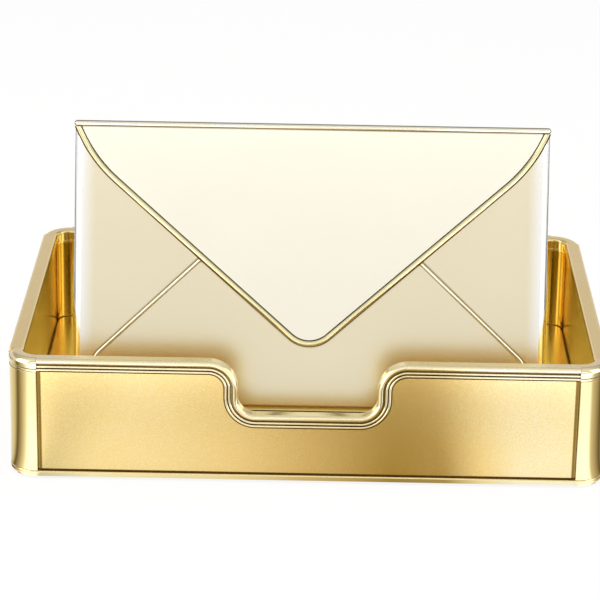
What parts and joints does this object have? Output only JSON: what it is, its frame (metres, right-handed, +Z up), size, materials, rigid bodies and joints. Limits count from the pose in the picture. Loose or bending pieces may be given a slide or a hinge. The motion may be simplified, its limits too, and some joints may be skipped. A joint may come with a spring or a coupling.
{
  "type": "letter tray with envelope pocket",
  "caption": "Open gold letter tray with a finger notch and a lift-out envelope-shaped pocket that has a hinged V flap.",
  "frame": {"origin": "on the table under the middle of the tray", "axes": "+X to the right seen from the front, +Y from the notched front wall to the rear wall, +Z up"},
  "size_m": [0.345, 0.236, 0.1856],
  "materials": {
    "polished_gold": "polished, gold anodised",
    "polished_gold_inner": "polished, gold anodised",
    "satin_gold": "fine satin, gold anodised",
    "champagne_satin": "satin, champagne anodised",
    "champagne_flap": "satin, pale champagne anodised",
    "pale_gold": "polished, pale gold anodised",
    "brass_hardware": "polished",
    "rubber_foot": "matt"
  },
  "bodies": {
    "tray": {"base_rail": "polished_gold", "corner_post_front_left": "polished_gold", "corner_post_front_right": "polished_gold", "corner_post_rear_left": "polished_gold", "corner_post_rear_right": "polished_gold", "envelope_rest": "polished_gold_inner", "floor_panel": "polished_gold_inner", "foot_1": "rubber_foot", "foot_2": "rubber_foot", "foot_3": "rubber_foot", "foot_4": "rubber_foot", "front_liner": "polished_gold_inner", "front_panel": "satin_gold", "left_liner": "polished_gold_inner", "left_panel": "satin_gold", "notch_bend_left": "polished_gold", "notch_bend_right": "polished_gold", "notch_sill": "polished_gold", "post_screw_1": "brass_hardware", "post_screw_2": "brass_hardware", "post_screw_3": "brass_hardware", "post_screw_4": "brass_hardware", "rear_liner": "polished_gold_inner", "rear_panel": "satin_gold", "rest_screw_1": "brass_hardware", "rest_screw_2": "brass_hardware", "rest_screw_3": "brass_hardware", "rest_screw_4": "brass_hardware", "right_liner": "polished_gold_inner", "right_panel": "satin_gold", "rim_corner_front_left": "polished_gold", "rim_corner_front_right": "polished_gold", "rim_corner_rear_left": "polished_gold", "rim_corner_rear_right": "polished_gold", "rim_front_left": "polished_gold", "rim_front_right": "polished_gold", "rim_left": "polished_gold", "rim_rear": "polished_gold", "rim_right": "polished_gold"},
    "envelope": {"envelope_back": "champagne_satin", "left_side_flap": "champagne_satin", "right_side_flap": "champagne_satin", "bottom_flap": "champagne_satin", "left_seam_bead": "pale_gold", "right_seam_bead": "pale_gold", "hinge_pin": "brass_hardware"},
    "flap": {"top_flap": "champagne_flap", "flap_trim": "pale_gold", "flap_top_bead": "pale_gold"}
  },
  "joints": [
    {"name": "envelope_lift", "type": "slide", "parent": "tray", "child": "envelope", "axis": [0, 0.2924, 0.9563], "range_m": [0, 0.08]},
    {"name": "flap_hinge", "type": "hinge", "parent": "envelope", "child": "flap", "pos_m": [0, -0.00295, 0.17927], "axis": [-1, 0, 0], "range_deg": [0, 170]}
  ]
}
